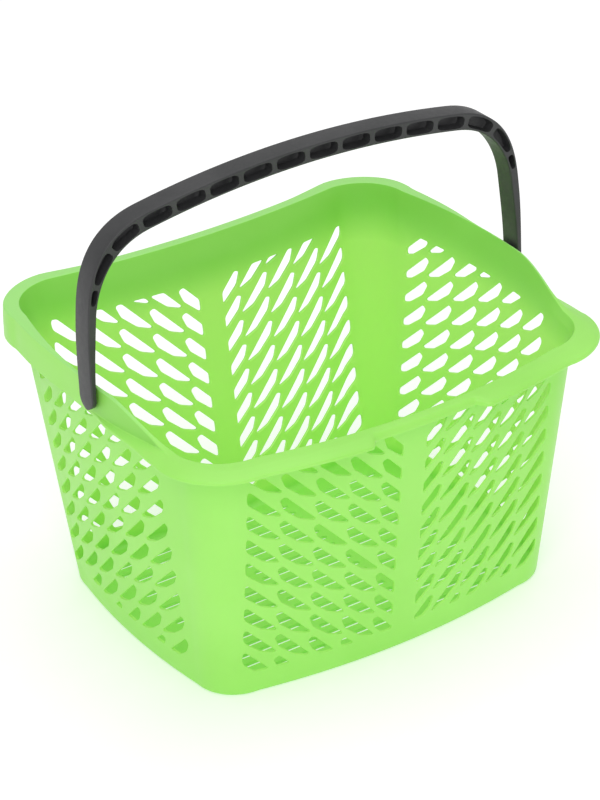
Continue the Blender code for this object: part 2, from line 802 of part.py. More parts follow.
def cut_eyes(handle):
    """A blind eye in the inner face of each leg."""
    for side, name in ((-1.0, "eye_cutter_left"), (1.0, "eye_cutter_right")):
        cutter = rod(name, PIN_R + PIN_EYE_GAP, side * (EYE_BOTTOM_X - 12.0), side * EYE_BOTTOM_X,
                     handle.data.materials[0])
        cut(handle, cutter)


def build_pins(tub, material):
    """A pin at each end, with its hole through the tub's wall."""
    for side, label in ((-1.0, "left"), (1.0, "right")):
        rod("pivot_pin_" + label, PIN_R, side * PIN_INNER_X, side * PIN_OUTER_X, material)
        cutter = rod("wall_cutter_" + label, PIN_R + PIN_WALL_GAP, side * (PIN_INNER_X - 9.0),
                     side * (PIN_OUTER_X + 6.0), material)
        cut(tub, cutter)


def main():
    clear_scene()
    green = make_material("basket_green", GREEN, 0.4)
    charcoal = make_material("handle_charcoal", CHARCOAL, 0.45)
    pin_green = make_material("pin_green", GREEN, 0.4)
    tub = build_tub(green)
    build_handle(charcoal)
    build_pins(tub, pin_green)


main()
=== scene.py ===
"""Looks for the hand shopping basket: a green perforated tub with a charcoal swing handle."""
import math

import bpy
import numpy as np
from mathutils import Matrix, Vector
from mathutils.geometry import delaunay_2d_cdt


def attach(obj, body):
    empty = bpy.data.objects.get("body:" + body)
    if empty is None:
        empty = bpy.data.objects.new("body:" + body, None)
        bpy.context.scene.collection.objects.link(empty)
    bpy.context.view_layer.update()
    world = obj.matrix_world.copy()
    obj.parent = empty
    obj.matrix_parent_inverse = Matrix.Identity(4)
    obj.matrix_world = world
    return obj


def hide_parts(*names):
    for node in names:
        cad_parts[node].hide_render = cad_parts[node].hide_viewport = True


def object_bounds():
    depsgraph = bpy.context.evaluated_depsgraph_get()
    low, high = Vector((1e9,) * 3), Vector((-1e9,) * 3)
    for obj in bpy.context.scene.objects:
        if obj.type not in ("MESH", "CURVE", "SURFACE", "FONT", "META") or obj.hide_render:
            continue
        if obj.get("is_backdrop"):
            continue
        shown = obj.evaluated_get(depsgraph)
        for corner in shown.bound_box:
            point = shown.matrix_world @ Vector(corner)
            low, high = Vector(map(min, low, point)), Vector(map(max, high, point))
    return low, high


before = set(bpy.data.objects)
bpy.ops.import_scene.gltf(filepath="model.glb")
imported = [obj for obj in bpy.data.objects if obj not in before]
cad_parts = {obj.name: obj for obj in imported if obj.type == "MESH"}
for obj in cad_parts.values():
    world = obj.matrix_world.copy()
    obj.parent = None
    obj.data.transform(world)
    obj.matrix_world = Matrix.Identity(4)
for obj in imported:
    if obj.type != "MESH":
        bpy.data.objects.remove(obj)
CAD_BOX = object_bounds()
MM = 0.001

# Tub outline: half sizes and corner radius at the base and at the rim (millimetres).
BASE_HALF_X, RIM_HALF_X = 170.6, 191.7
BASE_HALF_Y, RIM_HALF_Y = 132.0, 164.3
BASE_CORNER_R, RIM_CORNER_R = 37.5, 40.0
BASE_FRONT_BOW, RIM_FRONT_BOW = 13.5, 18.8
BASE_REAR_BOW, RIM_REAR_BOW = -14.6, -17.6
BASE_END_BOW, RIM_END_BOW = 6.7, 12.2

RIM_Z = 266.3
WALL_T, FLOOR_T = 2.5, 3.0

# Crest line: it flares out of the walls and falls to the front along the ends.
CREST = 2.0
CREST_CORNER_R, CREST_REAR_BOW, CREST_END_BOW = 46.0, -12.2, 12.95
CREST_FRONT_Z, CREST_TOP_Z = 245.1, 267.0
CREST_FALL_END, CREST_FALL_START = -128.8, -38.5

# Rim outside the crest line. Widths are measured outward from the crest; a shoulder is the top
# band's outer edge. The tables run against |x| along the rear and against y along the ends.
FLANGE_Z = 238.6
FLANGE_W, NOTCH_W = 20.5, 10.0
REAR_WIDTHS = ((105.0, 12.0), (152.0, 15.5))
REAR_SHOULDERS = ((105.0, 10.3), (152.0, 14.0))
END_WIDTHS = ((-150.0, 21.5), (-125.0, 20.0), (-100.0, 15.0), (-80.0, 10.4), (-60.0, 8.6),
              (-45.0, 8.0), (-33.0, 5.6), (-22.0, 3.0), (24.0, 3.2), (52.0, 5.8), (78.0, 8.6),
              (112.0, 11.4), (125.0, 13.0), (140.0, 15.5))
END_SHOULDERS = ((-150.0, 9.0), (-118.0, 6.0), (-95.0, 2.4), (24.0, 2.2), (52.0, 4.7),
                 (78.0, 7.4), (112.0, 10.2), (125.0, 11.8), (140.0, 14.0))
NOTCH_HALF, NOTCH_BLEND = 51.0, 8.0
BAND_DROP_FRONT, BAND_DROP_REAR = 1.2, 0.4

# Recess beside each leg: full depth up to RECESS_FLAT in front of the pivot, gone at RECESS_END.
# Its ledge rises a little toward the front. RECESS_BACK is where its face stops behind the pivot.
RECESS_FLAT, RECESS_END, RECESS_BACK = 78.0, 100.0, 11.0
LEDGE_Z, LEDGE_RISE, LEDGE_LEVEL = 241.0, 3.2, 10.0

# Section of the rim: height of the flare, half height of the lip, points in each rounded corner.
FLARE_FRONT, FLARE_TOP = 8.0, 18.0
LIP_UNDER, LIP_OVER = 1.35, 1.2
RIM_ARC_POINTS = 5

# Rows of the rim's section, counted back from the inner wall: the flare, the top band and the
# face above the ledge.
FLARE_ROWS, BAND_ROWS, LEDGE_FACE_ROWS = 7, 15, 17

# Heights where the painted light inside fades out, and where the painted shade under the rim sets
# in, and how far each runs.
PAINTED_LIGHT_FADE_Z, PAINTED_SHADE_Z, FADE_RUN = 208.0, 212.0, 44.0
# rise of the crest over which the top band's painted highlight grows
BAND_HIGHLIGHT_RISE = 18.0

# Openings.
PANEL_LOW, PANEL_HIGH = 18.0, 233.0
HOLE_LOW, HOLE_HIGH = 23.0, 230.5
LONG_EDGE, LONG_CREASE = 149.0, 11.5
LONG_FIRST, LONG_PITCH, LONG_TOP_Z = 151.0, 30.1, 232.4
LONG_STEP, LONG_ROW = 12.6, 23.45
LONG_RUN, LONG_FALL = 30.0, 29.0
END_EDGE_FRONT, END_EDGE_REAR = -91.0, 108.0
END_FIRST, END_PITCH, END_TOP_Z = -91.5, 34.2, 208.0
END_STEP, END_ROW = 12.8, 23.4
END_RUN, END_FALL, END_SLIM = 34.0, 29.0, 0.9
LEAF_CHORD = 45.8
LEAF_MIN_AREA = 40.0
LEAF = ((0.5, -1.6), (2.4, 4.0), (46.9, 1.4), (46.3, -0.7), (33.0, -6.4), (12.0, -7.1))
LEAF_SPACING, LEAF_ROUNDING = 1.2, 3
HOLE_CHAMFER = 0.45

LONG_HALF_PANEL = 152.0
END_PANEL_FRONT, END_PANEL_REAR = -95.0, 112.0
CORNER_STATIONS = 18
LEVELS = 12
LOOSE_ROWS, LOOSE_CLEARANCE = 30, 2.2

# Rounding between the walls and the floor, and the plan insets where the floor's skins start.
HEEL_R, FILLET_R, ARC_POINTS = 3.5, 5.0, 6
UNDER_INSET, FLOOR_INSET, FLOOR_BORDER = 7.0, 9.0, 8.0

SLOT_HALF_LEN, SLOT_HALF_W = 42.0, 2.2
SLOT_PITCH_X, SLOT_PITCH_Y = 96.0, 13.0
SLOT_COLUMNS, SLOT_ROWS = 3, 18
SLOT_EDGE_GAP = 8.0
SLOT_SPACING, SLOT_ROUNDING = 1.1, 2

# Handle.
PIVOT_Y, PIVOT_Z = -20.0, 257.5
LEG_FOOT_X, LEG_FOOT_Z = 211.3, 246.0
LEG_TOP_X, LEG_TOP_Z = 207.3, 328.0
LEG_BEND = 2.2
LEG_RISES = (0.0, 0.3, 1.0, 2.2, 3.8, 5.6, 7.6, 9.4, 10.8, 16.0, 24.0, 33.0, 42.0, 51.0, 60.0,
             70.0)
CORNER_X, CORNER_Z = 201.6, 390.7
CROWN_END_X, CROWN_END_Z = 150.0, 400.0
CROWN_Z = 413.5
TOP_T, LEG_TOP_T, LEG_FOOT_T = 15.0, 7.6, 4.6
HANDLE_HALF_W, FOOT_ROUND, FOOT_TIP_HALF_W = 10.8, 10.8, 3.0
HANDLE_EDGE_R = 1.3
POCKETS, POCKET_RIB, POCKET_DEPTH, POCKET_WALL, POCKET_LOW_Z = 16, 4.4, 9.6, 1.9, 341.0
POCKET_SIDES, POCKET_SQUARENESS = 36, 0.55
POCKET_FLOOR_R, POCKET_TAPER, POCKET_FLOOR_SHARE = 0.7, 0.93, 0.84
PIN_SIDES, PIN_CHAMFER = 48, 0.5
PIN_R, PIN_INNER_X, PIN_OUTER_X = 4.0, 203.0, 211.3


def lerp(a, b, t):
    return a + (b - a) * t


def smooth(t):
    t = min(max(t, 0.0), 1.0)
    return t * t * (3.0 - 2.0 * t)


# ---------------------------------------------------------------- tub outline

def section(level, inset):
    if level == CREST:
        return RIM_HALF_X - inset, RIM_HALF_Y - inset, CREST_CORNER_R - inset
    half_x = lerp(BASE_HALF_X, RIM_HALF_X, level) - inset
    half_y = lerp(BASE_HALF_Y, RIM_HALF_Y, level) - inset
    radius = lerp(BASE_CORNER_R, RIM_CORNER_R, level) - inset
    return half_x, half_y, max(radius, 4.0)


def wall_y(x, level, inset, side):
    half_x, half_y, radius = section(level, inset)
    straight = half_x - radius
    if side < 0:
        bow = lerp(BASE_FRONT_BOW, RIM_FRONT_BOW, min(level, 1.0))
    elif level == CREST:
        bow = CREST_REAR_BOW
    else:
        bow = lerp(BASE_REAR_BOW, RIM_REAR_BOW, level)
    over = abs(x) - straight
    if over > 0.0:
        return side * (half_y - radius + math.sqrt(max(radius ** 2 - over ** 2, 0.0)))
    return side * (half_y + bow * (1.0 - (x / straight) ** 2))


def wall_x(y, level, inset, side):
    half_x, half_y, radius = section(level, inset)
    straight = half_y - radius
    bow = CREST_END_BOW if level == CREST else lerp(BASE_END_BOW, RIM_END_BOW, level)
    over = abs(y) - straight
    if over > 0.0:
        return side * (half_x - radius + math.sqrt(max(radius ** 2 - over ** 2, 0.0)))
    return side * (half_x + bow * (1.0 - (y / straight) ** 2))


def resample(path, count):
    steps = [0.0]
    for a, b in zip(path, path[1:]):
        steps.append(steps[-1] + (b - a).length)
    wanted = [steps[-1] * (k + 1) / (count + 1) for k in range(count)]
    xs = np.interp(wanted, steps, [p.x for p in path])
    ys = np.interp(wanted, steps, [p.y for p in path])
    return [(float(x), float(y)) for x, y in zip(xs, ys)]


def corner_points(level, inset, side_x, side_y):
    half_x, half_y, radius = section(level, inset)
    end_y = END_PANEL_FRONT if side_y < 0 else END_PANEL_REAR
    start = Vector((side_x * LONG_HALF_PANEL, wall_y(LONG_HALF_PANEL, level, inset, side_y)))
    finish = Vector((wall_x(end_y, level, inset, side_x), end_y))
    centre = Vector((side_x * (half_x - radius), side_y * (half_y - radius)))
    path = [start]
    first = math.atan2(abs(start.y - centre.y), max(side_x * (start.x - centre.x), 0.0))
    last = math.atan2(max(side_y * (finish.y - centre.y), 0.0), abs(finish.x - centre.x))
    for k in range(49):
        a = lerp(first, last, k / 48.0)
        path.append(centre + radius * Vector((side_x * math.cos(a), side_y * math.sin(a))))
    if side_y * (finish.y - centre.y) < 0.0:
        for k in range(1, 17):
            y = lerp(centre.y, finish.y, k / 17.0)
            path.append(Vector((wall_x(y, level, inset, side_x), y)))
    path.append(finish)
    return resample(path, CORNER_STATIONS)


FINE = [float(v) for v in np.arange(44.0, 59.1, 1.5)]
COARSE = [float(v) for v in np.linspace(0.0, 40.0, 9)]
COARSE += [float(v) for v in np.linspace(63.0, LONG_HALF_PANEL, 19)]
LONG_STATIONS = sorted({side * v for v in COARSE + FINE for side in (-1.0, 1.0)})
END_STATIONS = [float(v) for v in np.linspace(END_PANEL_FRONT, END_PANEL_REAR, 41)]


def outline(level, inset):
    xs, ys = LONG_STATIONS, END_STATIONS
    loop = [(x, wall_y(x, level, inset, -1.0)) for x in xs]
    loop += corner_points(level, inset, 1.0, -1.0)
    loop += [(wall_x(y, level, inset, 1.0), y) for y in ys]
    loop += corner_points(level, inset, 1.0, 1.0)[::-1]
    loop += [(x, wall_y(x, level, inset, 1.0)) for x in xs[::-1]]
    loop += corner_points(level, inset, -1.0, 1.0)
    loop += [(wall_x(y, level, inset, -1.0), y) for y in ys[::-1]]
    loop += corner_points(level, inset, -1.0, -1.0)[::-1]
    return loop


def panel_slices():
    starts, at = [], 0
    for count in (len(LONG_STATIONS), len(END_STATIONS)) * 2:
        starts.append((at, count))
        at += count + CORNER_STATIONS
    return starts


def outward(loop):
    normals = []
    for i in range(len(loop)):
        before, after = Vector(loop[i - 1]), Vector(loop[(i + 1) % len(loop)])
        run = (after - before).normalized()
        normals.append(Vector((run.y, -run.x)))
    return normals


# ---------------------------------------------------------------- rim profile

def crest_z(y):
    t = (y - CREST_FALL_END) / (CREST_FALL_START - CREST_FALL_END)
    return lerp(CREST_FRONT_Z, CREST_TOP_Z, smooth(t))


def recess(x, y):
    """1 where the ledge beside the leg lies lowest, 0 where the flange meets the crest."""
    if abs(x) < LONG_HALF_PANEL:
        return 0.0
    if y > PIVOT_Y:
        return 1.0 - smooth((y - PIVOT_Y - RECESS_BACK) / 14.0)
    return smooth((RECESS_END + y - PIVOT_Y) / (RECESS_END - RECESS_FLAT))


def ledge_z(y):
    return LEDGE_Z + LEDGE_RISE * smooth((PIVOT_Y - LEDGE_LEVEL - y) / (RECESS_END - LEDGE_LEVEL))


def table(value, knots):
    """Straight interpolation between (position, width) knots."""
    for (p, a), (q, b) in zip(knots, knots[1:]):
        if value <= q:
            return lerp(a, b, min(max((value - p) / (q - p), 0.0), 1.0))
    return knots[-1][1]


def flange_width(x, y):
    if abs(x) < LONG_HALF_PANEL:
        if y > 0.0:
            return table(abs(x), REAR_WIDTHS)
        start = NOTCH_HALF - NOTCH_BLEND / 2.0
        return lerp(NOTCH_W, FLANGE_W, smooth((abs(x) - start) / NOTCH_BLEND))
    return table(y, END_WIDTHS)


def shoulder_width(x, y):
    if abs(x) < LONG_HALF_PANEL:
        return table(abs(x), REAR_SHOULDERS) if y > 0.0 else min(9.0, 0.62 * flange_width(x, y))
    return table(y, END_SHOULDERS)


def shoulder_drop(y):
    return lerp(BAND_DROP_FRONT, BAND_DROP_REAR, smooth((y - 20.0) / 40.0))


def root_share(x, y):
    """1 where the flange starts from a root at the shoulder's foot, 0 where it falls evenly."""
    if y < PIVOT_Y and abs(x) >= LONG_HALF_PANEL:
        return smooth((y + 165.0) / 50.0)
    return min(recess(x, y) * 1.6, 1.0)


def rounded(ctrl, cuts, steps):
    """A path whose inner corners are rounded; every corner gives the same number of points."""
    out = [ctrl[0]]
    for i in range(1, len(ctrl) - 1):
        a, b, c = ctrl[i - 1], ctrl[i], ctrl[i + 1]
        la, lc = (a - b).length, (c - b).length
        cut = min(cuts[i - 1], 0.48 * la, 0.48 * lc)
        p, q = b + (a - b).normalized() * cut, b + (c - b).normalized() * cut
        for k in range(steps):
            t = k / (steps - 1.0)
            out.append(p * (1 - t) ** 2 + b * (2 * t * (1 - t)) + q * t * t)
    out.append(ctrl[-1])
    return out


def soft_loop(values, times):
    """Evens out the steps in a closed row of values."""
    row = np.array(values)
    for _ in range(times):
        row = 0.5 * row + 0.25 * (np.roll(row, 1) + np.roll(row, -1))
    return [float(v) for v in row]


class Solid:
    """Points and faces of one mesh, with a painted shading value (shade positive, highlight
    negative) and a painted inside light value for each point.
    """

    def __init__(self):
        self.points, self.faces, self.tones, self.painted_lights = [], [], [], []

    def add(self, point, tone=0.0, painted_light=0.0):
        self.points.append(tuple(float(v) for v in point))
        self.tones.append(tone)
        self.painted_lights.append(painted_light)
        return len(self.points) - 1

    def bridge(self, low, high, skip=()):
        count = len(low)
        for i in range(count):
            j = (i + 1) % count
            if i not in skip:
                self.faces.append((low[i], low[j], high[j], high[i]))

    def make(self, name, sharp=35.0):
        mesh = bpy.data.meshes.new(name)
        mesh.from_pydata([(x * MM, y * MM, z * MM) for x, y, z in self.points], [], self.faces)
        mesh.validate()
        # painted shading and painted inside light, stored per point for the material
        for label, values in (("rim_painted_shading", self.tones), ("painted_inside_light", self.painted_lights)):
            layer = mesh.attributes.new(label, "FLOAT", "POINT")
            layer.data.foreach_set("value", np.array(values, np.float32))
        mesh.shade_smooth()
        mesh.set_sharp_from_angle(angle=math.radians(sharp))
        obj = bpy.data.objects.new(name, mesh)
        bpy.context.scene.collection.objects.link(obj)
        return obj


# ---------------------------------------------------------------- openings

def leaf(tip, run, fall, slim=1.0):
    length = math.hypot(run, fall)
    along = (run / length, -fall / length)
    side = 1.0 if run > 0.0 else -1.0
    across = (side * fall / length, side * run / length)
    scale = length / LEAF_CHORD
    return [(tip[0] + scale * (a * along[0] + slim * b * across[0]),
             tip[1] + scale * (a * along[1] + slim * b * across[1])) for a, b in LEAF]


def clip(poly, axis, limit, keep_above):
    sign = 1.0 if keep_above else -1.0
    out = []
    for p, q in zip(poly, poly[1:] + poly[:1]):
        dp, dq = sign * (p[axis] - limit), sign * (q[axis] - limit)
        if dp >= 0.0:
            out.append(p)
        if dp * dq < 0.0:
            t = dp / (dp - dq)
            out.append((lerp(p[0], q[0], t), lerp(p[1], q[1], t)))
    return out


def area(poly):
    return abs(signed_area(poly))


def even(poly, gap):
    """The same closed curve with evenly spaced points."""
    pts = [Vector(p) for p in poly] + [Vector(poly[0])]
    steps = [0.0]
    for a, b in zip(pts, pts[1:]):
        steps.append(steps[-1] + (b - a).length)
    count = max(8, int(round(steps[-1] / gap)))
    wanted = [steps[-1] * k / count for k in range(count)]
    xs = np.interp(wanted, steps, [p.x for p in pts])
    ys = np.interp(wanted, steps, [p.y for p in pts])
    return [(float(x), float(y)) for x, y in zip(xs, ys)]


def soften(poly, times):
    """Rounds the corners of an evenly spaced curve."""
    pts = np.array(poly)
    for _ in range(times):
        pts = 0.5 * pts + 0.25 * (np.roll(pts, 1, 0) + np.roll(pts, -1, 0))
    return [tuple(p) for p in pts]


def fit_leaf(poly, low, high):
    for axis in (0, 1):
        poly = clip(poly, axis, low[axis], True)
        if len(poly) > 2:
            poly = clip(poly, axis, high[axis], False)
        if len(poly) < 3:
            return None
    if area(poly) < LEAF_MIN_AREA:
        return None
    return soften(even(poly, LEAF_SPACING), LEAF_ROUNDING)


def long_leaves():
    field = []
    for column in range(5):
        x = LONG_FIRST - LONG_PITCH * column
        for row in range(-3, 10):
            z = LONG_TOP_Z - LONG_STEP * column - LONG_ROW * row
            poly = leaf((-x, z), LONG_RUN, LONG_FALL)
            poly = fit_leaf(poly, (-LONG_EDGE, HOLE_LOW), (-LONG_CREASE, HOLE_HIGH))
            if poly:
                field.append(poly)
    return field + [[(-x, z) for x, z in poly[::-1]] for poly in field]


def end_leaves():
    field = []
    for column in range(6):
        y = END_FIRST + END_PITCH * column
        for row in range(-5, 9):
            z = END_TOP_Z - END_STEP * column - END_ROW * row
            poly = leaf((y, z), END_RUN, END_FALL, END_SLIM)
            poly = fit_leaf(poly, (END_EDGE_FRONT, HOLE_LOW), (END_EDGE_REAR, HOLE_HIGH))
            if poly:
                field.append(poly)
    return field


def signed_area(poly):
    total = 0.0
    for p, q in zip(poly, poly[1:] + poly[:1]):
        total += p[0] * q[1] - q[0] * p[1]
    return total / 2.0


def grow(poly, amount):
    """A closed curve moved outward."""
    pts = np.array(poly)
    run = np.roll(pts, -1, 0) - np.roll(pts, 1, 0)
    run /= np.linalg.norm(run, axis=1)[:, None] + 1e-9
    normal = np.stack([run[:, 1], -run[:, 0]], 1)
    if signed_area(poly) < 0.0:
        normal = -normal
    return [tuple(p) for p in pts + normal * amount]


def inside(points, poly):
    hit = np.zeros(len(points), bool)
    x, y = points[:, 0], points[:, 1]
    for (x1, y1), (x2, y2) in zip(poly, poly[1:] + poly[:1]):
        crosses = (y1 > y) != (y2 > y)
        if y1 != y2:
            hit ^= crosses & (x < (x2 - x1) * (y - y1) / (y2 - y1) + x1)
    return hit


def near_any(points, loops, reach):
    """Mask of the points inside, or closer than reach to, any loop."""
    mask = np.zeros(len(points), bool)
    for loop in loops:
        ring = np.array(loop)
        box = ((points > ring.min(0) - reach) & (points < ring.max(0) + reach)).all(1)
        idx = np.where(box)[0]
        if len(idx) == 0:
            continue
        gap = np.linalg.norm(points[idx][:, None, :] - ring[None], axis=2).min(1)
        mask[idx] |= (gap < reach) | inside(points[idx], loop)
    return mask


def triangulate(border, holes, extra=()):
    """Triangles of a flat region: border points first, then holes, then loose points."""
    verts, edges = [], []
    for loop in [border] + holes:
        first = len(verts)
        verts += [Vector(p) for p in loop]
        edges += [(first + k, first + (k + 1) % len(loop)) for k in range(len(loop))]
    verts += [Vector(p) for p in extra]
    out, _, faces, origins, _, _ = delaunay_2d_cdt(verts, edges, [], 0, 1e-5)
    source = [ids[0] for ids in origins]
    flat = np.array([(p[0], p[1]) for p in out])
    centres = flat[np.array([list(f) for f in faces])].mean(1)
    keep = inside(centres, border)
    for hole in holes:
        ring = np.array(hole)
        idx = np.where(((centres > ring.min(0)) & (centres < ring.max(0))).all(1))[0]
        if len(idx):
            keep[idx] &= ~inside(centres[idx], hole)
    return [tuple(source[i] for i in f) for f, ok in zip(faces, keep) if ok]


# no painted shade and no painted light
def no_painted_shading(p, t):
    return 0.0, 0.0


def perforate(solid, border_pair, plan, holes, place, depth, extra=(), painted_shading_at=no_painted_shading):
    """Two skins with the same openings; each opening has small chamfers and a straight bore.

    place(p, t) puts a plan point at depth t, from 0 at the first skin to depth at the second.
    """
    wide = [grow(h, HOLE_CHAMFER) for h in holes]
    tris = triangulate(plan, wide, extra)
    maps = []
    for skin, t in ((0, 0.0), (1, depth)):
        index = list(border_pair[skin])
        for hole in wide:
            index += [solid.add(place(p, t), *painted_shading_at(p, t)) for p in hole]
        index += [solid.add(place(p, t), *painted_shading_at(p, t)) for p in extra]
        maps.append(index)
    for a, b, c in tris:
        solid.faces.append((maps[0][a], maps[0][b], maps[0][c]))
        solid.faces.append((maps[1][a], maps[1][c], maps[1][b]))
    at = len(plan)
    for hole in holes:
        n = len(hole)
        rings = [maps[0][at:at + n]]
        for t in (HOLE_CHAMFER, depth - HOLE_CHAMFER):
            rings.append([solid.add(place(p, t), *painted_shading_at(p, t)) for p in hole])
        rings.append(maps[1][at:at + n])
        for a, b in zip(rings, rings[1:]):
            for k in range(n):
                j = (k + 1) % n
                face = (a[k], a[j], b[j], b[k])
                solid.faces.append(face if signed_area(hole) > 0 else face[::-1])
        at += n


# ---------------------------------------------------------------- tub

def wall_point(panel, along, z, inset):
    level = z / RIM_Z
    if panel in (0, 2):
        return (along, wall_y(along, level, inset, panel - 1.0), z)
    return (wall_x(along, level, inset, 2.0 - panel), along, z)


def painted_inside_light(z):
    """Painted light on the inside walls, as if shining through them: none under the rim."""
    return 1.0 - smooth((z - PAINTED_LIGHT_FADE_Z) / FADE_RUN)


def band_painted_highlight(y):
    """Painted highlight on the rim's top band: -1 where the crest is high, 0 along the front."""
    return -smooth((crest_z(y) - CREST_FRONT_Z) / BAND_HIGHLIGHT_RISE)


def outer_painted_shading(from_end, x, y):
    """Painted shading outside the crest: a painted highlight on the top band, painted shade on the
    face above the ledge.
    """
    if from_end <= BAND_ROWS:
        return band_painted_highlight(y)
    # painted shade on the recess face above the ledge
    if from_end <= LEDGE_FACE_ROWS and y < PIVOT_Y + RECESS_BACK:
        return recess(x, y)
    return 0.0


def inner_painted_shade(z):
    """Painted shade on the inner skin, deepest under the crest."""
    return smooth((z - PAINTED_SHADE_Z) / FADE_RUN)


def add_panels(solid, outer_rings, inner_rings, heights):
    for panel, (start, count) in enumerate(panel_slices()):
        ids = list(range(start, start + count))
        along = LONG_STATIONS if panel in (0, 2) else END_STATIONS
        if panel in (2, 3):
            ids = ids[::-1]
        first, last = ids[0], ids[-1]
        low, high = heights[0], heights[-1]
        mid = heights[1:-1]
        plan = [(s, low) for s in along] + [(along[-1], z) for z in mid]
        plan += [(s, high) for s in along[::-1]] + [(along[0], z) for z in mid[::-1]]
        pair = []
        for rings in (outer_rings, inner_rings):
            index = [rings[0][i] for i in ids] + [r[last] for r in rings[1:-1]]
            index += [rings[-1][i] for i in ids[::-1]] + [r[first] for r in rings[1:-1]][::-1]
            pair.append(index)
        holes = long_leaves() if panel in (0, 2) else end_leaves()
        rows = np.linspace(low, high, LOOSE_ROWS)[1:-1]
        loose = np.array([(s, z) for s in along[1:-1] for z in rows])
        loose = loose[~near_any(loose, holes, LOOSE_CLEARANCE)]
        if panel in (2, 3):
            pair = pair[::-1]

        def place(p, t, panel=panel):
            inset = t if panel in (0, 1) else WALL_T - t
            return wall_point(panel, p[0], p[1], inset)

        # painted shade under the rim and painted light lower down, growing toward the inner skin
        def painted_shading_at(p, t, panel=panel):
            share = (t if panel in (0, 1) else WALL_T - t) / WALL_T
            return inner_painted_shade(p[1]) * share, painted_inside_light(p[1]) * share

        perforate(solid, pair, plan, holes, place, WALL_T, [tuple(p) for p in loose], painted_shading_at)


def floor_slots():
    margin = outline(0.0, WALL_T + SLOT_EDGE_GAP)
    slots = []
    for column in range(SLOT_COLUMNS):
        for row in range(SLOT_ROWS):
            x = (column - (SLOT_COLUMNS - 1) / 2.0) * SLOT_PITCH_X
            y = (row - (SLOT_ROWS - 1) / 2.0) * SLOT_PITCH_Y
            corners = [(-SLOT_HALF_LEN, -SLOT_HALF_W), (SLOT_HALF_LEN, -SLOT_HALF_W)]
            corners += [(-a, -b) for a, b in corners]
            corners = [(x + a, y + b) for a, b in corners]
            if not inside(np.array(corners), margin).all():
                continue
            slots.append(soften(even(corners, SLOT_SPACING), SLOT_ROUNDING))
    return slots


def add_ring(solid, level, inset, z, tone=0.0, painted_light=0.0):
    return [solid.add((p[0], p[1], z), tone, painted_light) for p in outline(level, inset)]


def add_heel(solid, wall_foot):
    """Rounds the underside into the outer skin and returns the underside's ring."""
    heel = [add_ring(solid, 0.0, UNDER_INSET, 0.0)]
    for k in range(ARC_POINTS):
        a = math.radians(90.0 * k / (ARC_POINTS - 1.0))
        z = HEEL_R * (1 - math.cos(a))
        heel.append(add_ring(solid, z / RIM_Z, HEEL_R * (1 - math.sin(a)), z))
    for low, high in zip(heel, heel[1:] + [wall_foot]):
        solid.bridge(low, high)
    return heel[0]


def add_fillet(solid, wall_foot):
    """Rounds the inner skin into the floor and returns the floor's ring."""
    fillet = [wall_foot]
    for k in range(ARC_POINTS):
        a = math.radians(90.0 * k / (ARC_POINTS - 1.0))
        z = FLOOR_T + FILLET_R * (1 - math.sin(a))
        fillet.append(add_ring(solid, z / RIM_Z, WALL_T + FILLET_R * (1 - math.cos(a)), z))
    fillet.append(add_ring(solid, 0.0, FLOOR_INSET, FLOOR_T))
    for low, high in zip(fillet, fillet[1:]):
        solid.bridge(low, high)
    return fillet[-1]


def rim_corners(x, y, normal, width, shoulder, on_wall):
    """Corners of the rim's section at one station, with the length cut off at each.

    They run from the root under the flange, round its edge and over the top band, to the
    knee where the flare meets the wall.
    """
    r, cz = recess(x, y), crest_z(y)
    drop, root = shoulder_drop(y), root_share(x, y)
    ledge = lerp(cz - 1.5, ledge_z(y), r)
    under_z = lerp(cz - 5.5, ledge - 2.8, r)
    fall = lerp(FLARE_FRONT, FLARE_TOP, smooth((cz - CREST_FRONT_Z) / 20.0))
    knee, skin = on_wall(1, cz - fall), on_wall(0, under_z)

    def spot(out, z):
        return Vector((x + normal.x * out, y + normal.y * out, z))

    # the root keeps a wall's thickness outside the flare
    lean = ((x - knee.x) * normal.x + (y - knee.y) * normal.y) * (cz - under_z) / fall
    plain = (skin.x - x) * normal.x + (skin.y - y) * normal.y
    root_out = max(plain, WALL_T - lean)
    hollow_out = max(lerp(shoulder - 2.3, width - 2.2, r), root_out + 0.4)
    skirt = spot(lerp(shoulder, width, 0.62), lerp(cz - drop, FLANGE_Z + LIP_OVER, 0.45))
    corners = [spot(root_out, under_z),
               spot(hollow_out, lerp(cz - 4.8, ledge - 2.9, r)),
               spot(width - 1.9, FLANGE_Z - LIP_UNDER),
               spot(width, FLANGE_Z - LIP_UNDER),
               spot(width - 0.1, FLANGE_Z + LIP_OVER),
               skirt.lerp(spot(shoulder + 0.3, ledge), root),
               spot(shoulder, cz - drop),
               spot(0.2, cz),
               knee]
    return corners, [2.0, 2.0, 0.5, 1.1, 2.0, lerp(3.5, 0.9, r), lerp(1.3, 1.0, r), 0.7, 14.0]


def rim_columns(solid, crest, top_out, top_in):
    """The rim's rounded section at every station."""
    levels = (PANEL_HIGH / RIM_Z, 1.0)
    skins = [[outline(level, inset) for level in levels] for inset in (0.0, WALL_T)]
    widths = soft_loop([flange_width(x, y) for x, y in crest], 2)
    shoulders = soft_loop([shoulder_width(x, y) for x, y in crest], 3)
    columns = []
    for i, (end, normal) in enumerate(zip(crest, outward(crest))):
        x, y = Vector(end)

        def on_wall(skin, z, i=i):
            low, high = (Vector(loop[i]) for loop in skins[skin])
            p = low.lerp(high, (z - PANEL_HIGH) / (RIM_Z - PANEL_HIGH))
            return Vector((p.x, p.y, z))

        corners, cuts = rim_corners(x, y, normal, widths[i], shoulders[i], on_wall)
        path = [Vector(solid.points[top_out[i]])] + corners + [Vector(solid.points[top_in[i]])]
        columns.append(rounded(path, cuts, RIM_ARC_POINTS))
    return columns


